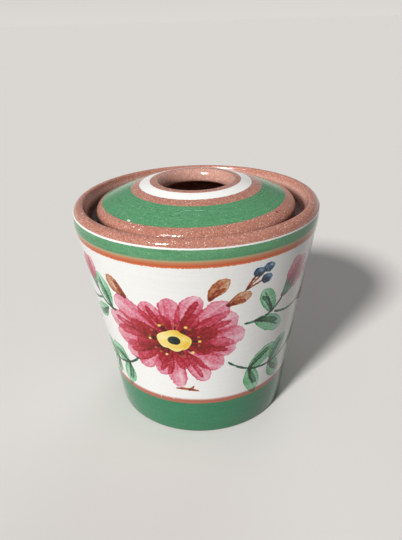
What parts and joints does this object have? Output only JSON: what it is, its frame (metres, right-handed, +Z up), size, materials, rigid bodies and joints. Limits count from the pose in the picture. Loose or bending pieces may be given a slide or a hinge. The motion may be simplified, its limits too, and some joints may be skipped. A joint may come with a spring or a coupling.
{
  "type": "hair receiver",
  "caption": "Tapered earthenware hair receiver: a jar with a gallery rim and a lift-off domed lid with a finger hole.",
  "frame": {"origin": "centre of the circle that the foot ring stands on", "axes": "+Z up, along the turning axis of the jar and the lid"},
  "size_m": [0.0892, 0.0892, 0.0887],
  "materials": {
    "jar_glaze": "clear glaze over cream slip, green bands and red earthenware",
    "lid_glaze": "clear glaze over green slip and red earthenware"
  },
  "bodies": {
    "jar": {"jar": "jar_glaze"},
    "lid": {"lid": "lid_glaze"}
  },
  "joints": [
    {"name": "lid_lift", "type": "slide", "parent": "jar", "child": "lid", "axis": [0, 0, 1], "range_m": [0, 0.06]}
  ]
}
